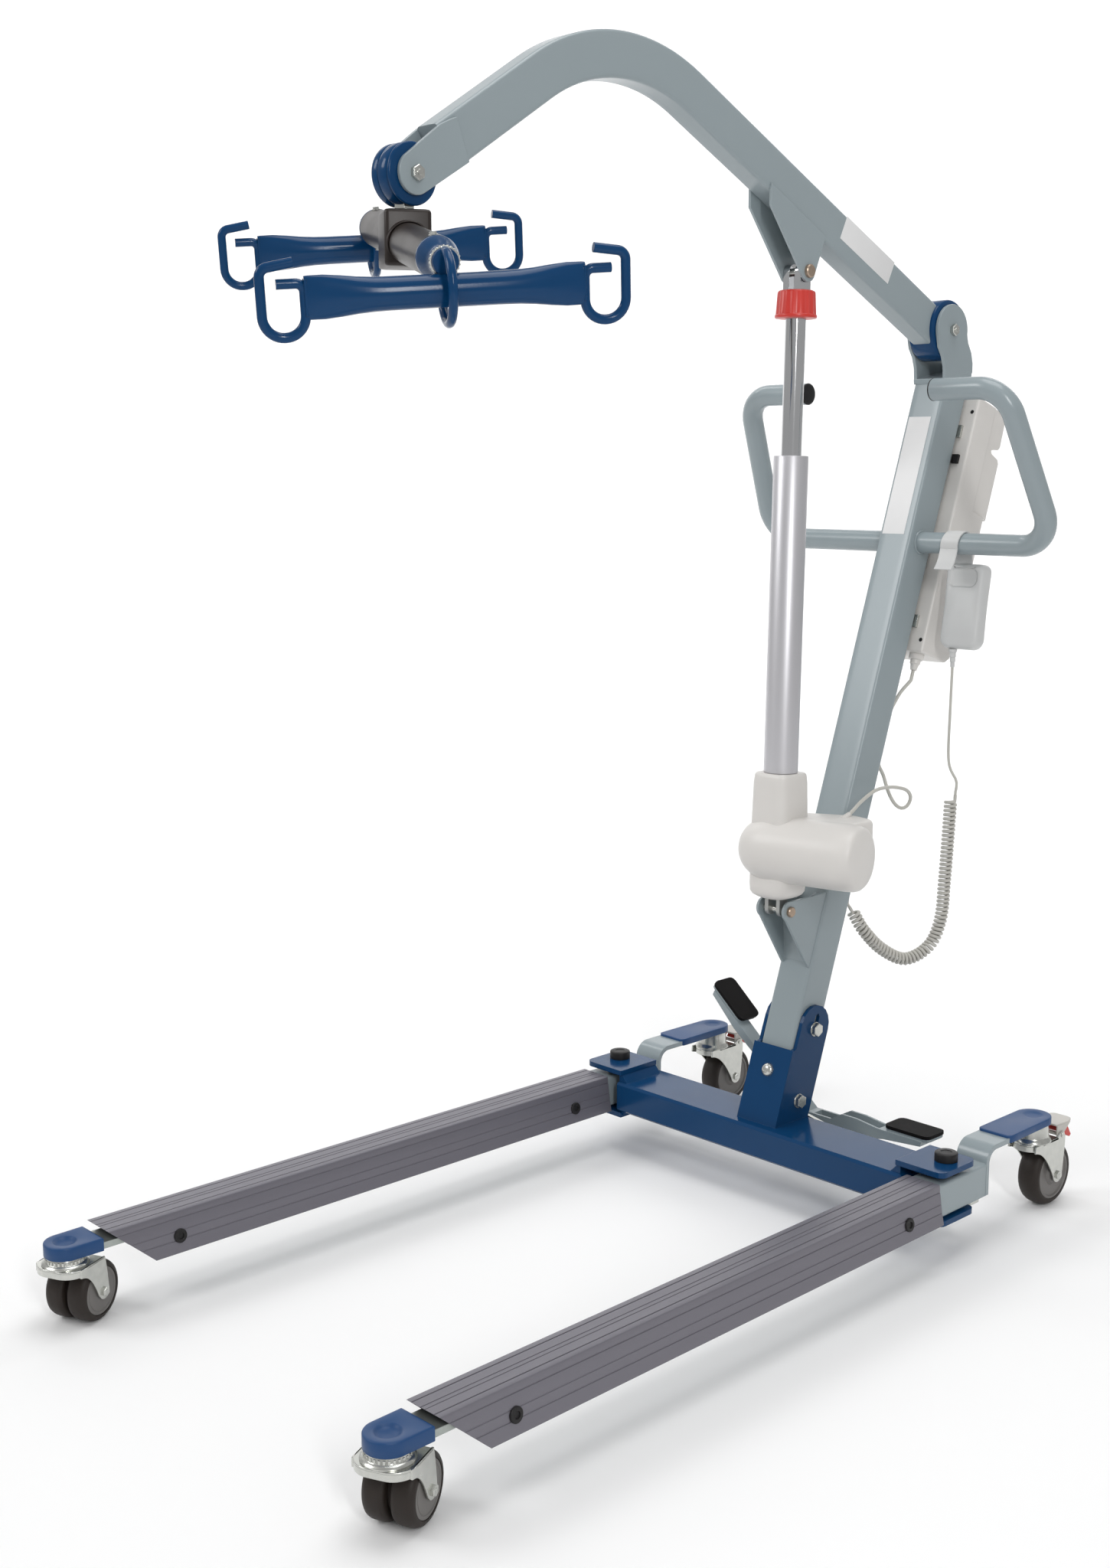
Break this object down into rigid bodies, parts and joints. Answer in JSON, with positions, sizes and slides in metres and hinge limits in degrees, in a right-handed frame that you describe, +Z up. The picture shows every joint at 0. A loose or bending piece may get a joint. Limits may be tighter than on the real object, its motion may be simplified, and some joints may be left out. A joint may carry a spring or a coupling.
{
  "type": "bariatric patient lift",
  "caption": "Mobile electric patient lift: lean-back mast, raised boom with swivelling spreader, spreading castor legs with foot pedals, control box and corded handset.",
  "frame": {"origin": "centre of the footprint, on the floor under the casters", "axes": "+X to the lift's right as seen from behind, -Y towards the legs' tips and the patient, +Z up"},
  "size_m": [0.7649, 1.5579, 1.6568],
  "materials": {
    "frame_paint": "grey-green powder coat, satin",
    "blue_paint": "blue powder coat, semi-gloss",
    "blue_plastic": "moulded blue nylon, satin",
    "black_metal": "black paint, satin",
    "rocker_paint": "grey-green powder coat",
    "sleeve_aluminium": "grey anodised",
    "housing_plastic": "fine-grained white moulding",
    "handset_plastic": "light grey moulding",
    "key_plastic": "dark grey keys",
    "red_plastic": "red moulding",
    "black_plastic": "black moulding",
    "pad_rubber": "black rubber with an anti-slip pattern",
    "wheel_rubber": "grey-black tread on a nylon hub",
    "zinc": "bright zinc plate",
    "chrome_rod": "hard chrome",
    "satin_tube": "satin silver",
    "brake_grey": "pale grey moulding with a red tab",
    "cord_plastic": "light grey cord jacket"
  },
  "bodies": {
    "base": {"base_frame": "blue_paint", "leg_pivot_pin_left": "black_plastic", "leg_pivot_pin_right": "black_plastic", "mast": "frame_paint", "push_handle": "frame_paint", "handle_plug_left": "black_plastic", "handle_plug_right": "black_plastic", "boom_pivot_bolt": "zinc", "actuator_foot_pin": "zinc", "actuator_housing": "housing_plastic", "actuator_tube": "satin_tube", "box_bracket": "zinc", "control_box": "housing_plastic", "handset_plug": "housing_plastic", "motor_plug": "housing_plastic", "handset": "handset_plastic", "handset_relief": "handset_plastic", "handset_cord": "cord_plastic", "handset_cord_curl": "cord_plastic", "handset_cord_tail": "cord_plastic", "motor_cable": "cord_plastic"},
    "boom": {"boom": "frame_paint", "boom_bush": "blue_paint", "hanger_bolt": "zinc"},
    "hanger": {"hanger": "blue_paint", "swivel_pin": "zinc"},
    "spreader": {"spreader_beam": "black_metal", "spreader_bar_front": "blue_paint", "spreader_bar_rear": "blue_paint"},
    "rod": {"actuator_rod": "chrome_rod", "actuator_head_pin": "zinc"},
    "release_cap": {"release_cap": "red_plastic"},
    "leg_left": {"leg_left": "frame_paint", "leg_sleeve_left": "sleeve_aluminium", "caster_cap_front_left": "blue_plastic", "caster_cap_rear_left": "blue_plastic"},
    "leg_right": {"leg_right": "frame_paint", "leg_sleeve_right": "sleeve_aluminium", "caster_cap_front_right": "blue_plastic", "caster_cap_rear_right": "blue_plastic"},
    "rocker": {"pedal_rocker": "rocker_paint", "pedal_pad_left": "pad_rubber", "pedal_pad_right": "pad_rubber"},
    "link_left": {"leg_link_left": "zinc"},
    "link_right": {"leg_link_right": "zinc"},
    "battery": {"battery_pack": "housing_plastic"},
    "stop_button": {"stop_button": "red_plastic"},
    "handset_button": {"handset_button": "key_plastic"},
    "fork_front_left": {"caster_fork_front_left": "zinc"},
    "wheel_front_left": {"caster_wheel_front_left": "wheel_rubber"},
    "fork_front_right": {"caster_fork_front_right": "zinc"},
    "wheel_front_right": {"caster_wheel_front_right": "wheel_rubber"},
    "fork_rear_left": {"caster_fork_rear_left": "zinc"},
    "wheel_rear_left": {"caster_wheel_rear_left": "wheel_rubber"},
    "fork_rear_right": {"caster_fork_rear_right": "zinc"},
    "wheel_rear_right": {"caster_wheel_rear_right": "wheel_rubber"},
    "brake_left": {"caster_brake_left": "brake_grey"},
    "brake_right": {"caster_brake_right": "brake_grey"}
  },
  "joints": [
    {"name": "boom_lift", "type": "hinge", "parent": "base", "child": "boom", "pos_m": [0, 0.6525, 1.317], "axis": [-1, 0, 0], "range_deg": [-28, 8]},
    {"name": "hanger_swing", "type": "hinge", "parent": "boom", "child": "hanger", "pos_m": [0, -0.4232, 1.4456], "axis": [1, 0, 0], "range_deg": [-30, 12]},
    {"name": "spreader_swivel", "type": "hinge", "parent": "hanger", "child": "spreader", "pos_m": [0, -0.4232, 1.374], "axis": [0, 0, 1], "continuous": true},
    {"name": "rod_slide", "type": "slide", "parent": "base", "child": "rod", "axis": [0, 0.024, 0.9997], "range_m": [-0.1714, 0.049]},
    {"name": "release_cap_pull", "type": "slide", "parent": "rod", "child": "release_cap", "axis": [0, 0.024, 0.9997], "range_m": [0, 0.006], "stiffness_N_per_m": 400, "springref_m": -0.003},
    {"name": "leg_spread_right", "type": "hinge", "parent": "base", "child": "leg_right", "pos_m": [0.323, 0.2745, 0.096], "axis": [0, 0, 1], "range_deg": [0, 8.2]},
    {"name": "leg_spread_left", "type": "hinge", "parent": "base", "child": "leg_left", "pos_m": [-0.323, 0.2745, 0.096], "axis": [0, 0, -1], "range_deg": [0, 8.2]},
    {"name": "pedal_rock", "type": "hinge", "parent": "base", "child": "rocker", "pos_m": [0, 0.3655, 0.095], "axis": [0, -1, 0], "range_deg": [0, 27]},
    {"name": "link_turn_right", "type": "hinge", "parent": "rocker", "child": "link_right", "pos_m": [0.00415, 0.3325, 0.11231], "axis": [0, -1, 0], "range_deg": [-27, 0]},
    {"name": "link_turn_left", "type": "hinge", "parent": "rocker", "child": "link_left", "pos_m": [-0.00415, 0.3325, 0.07769], "axis": [0, -1, 0], "range_deg": [-27, 0]},
    {"name": "swivel_front_left", "type": "hinge", "parent": "leg_left", "child": "fork_front_left", "pos_m": [-0.335, -0.74283, 0.1], "axis": [0, 0, 1], "continuous": true},
    {"name": "roll_front_left", "type": "hinge", "parent": "fork_front_left", "child": "wheel_front_left", "pos_m": [-0.34806, -0.7135, 0.041], "axis": [0.9135, 0.4067, 0], "continuous": true},
    {"name": "swivel_front_right", "type": "hinge", "parent": "leg_right", "child": "fork_front_right", "pos_m": [0.335, -0.74283, 0.1], "axis": [0, 0, 1], "continuous": true},
    {"name": "roll_front_right", "type": "hinge", "parent": "fork_front_right", "child": "wheel_front_right", "pos_m": [0.32195, -0.7135, 0.041], "axis": [0.9135, 0.4067, 0], "continuous": true},
    {"name": "swivel_rear_left", "type": "hinge", "parent": "leg_left", "child": "fork_rear_left", "pos_m": [-0.32032, 0.50178, 0.1], "axis": [0, 0, 1], "continuous": true},
    {"name": "roll_rear_left", "type": "hinge", "parent": "fork_rear_left", "child": "wheel_rear_left", "pos_m": [-0.32032, 0.53848, 0.05], "axis": [1, 0, 0], "continuous": true},
    {"name": "swivel_rear_right", "type": "hinge", "parent": "leg_right", "child": "fork_rear_right", "pos_m": [0.32032, 0.50178, 0.1], "axis": [0, 0, 1], "continuous": true},
    {"name": "roll_rear_right", "type": "hinge", "parent": "fork_rear_right", "child": "wheel_rear_right", "pos_m": [0.32032, 0.53848, 0.05], "axis": [1, 0, 0], "continuous": true},
    {"name": "brake_press_left", "type": "hinge", "parent": "fork_rear_left", "child": "brake_left", "pos_m": [-0.32032, 0.54678, 0.1105], "axis": [-1, 0, 0], "range_deg": [0, 8]},
    {"name": "brake_press_right", "type": "hinge", "parent": "fork_rear_right", "child": "brake_right", "pos_m": [0.32032, 0.54678, 0.1105], "axis": [-1, 0, 0], "range_deg": [0, 8]},
    {"name": "battery_pull", "type": "slide", "parent": "base", "child": "battery", "axis": [0, 0.9443, -0.3292], "range_m": [0, 0.05]},
    {"name": "stop_press", "type": "slide", "parent": "base", "child": "stop_button", "axis": [0, -0.3292, -0.9443], "range_m": [0, 0.003], "stiffness_N_per_m": 500, "springref_m": -0.001},
    {"name": "handset_rock", "type": "hinge", "parent": "base", "child": "handset_button", "pos_m": [0.106, 0.60752, 0.89388], "axis": [1, 0, 0], "range_deg": [-4, 4], "stiffness_Nm_per_rad": 0.3}
  ],
  "couplings": [
    {"joint": "leg_spread_left", "follows": "leg_spread_right", "ratio": 1},
    {"joint": "pedal_rock", "follows": "leg_spread_right", "ratio": 3.2926},
    {"joint": "link_turn_right", "follows": "leg_spread_right", "ratio": -3.2926},
    {"joint": "link_turn_left", "follows": "leg_spread_right", "ratio": -3.2926},
    {"joint": "rod_slide", "follows": "boom_lift", "m_per_rad": 0.3505}
  ]
}
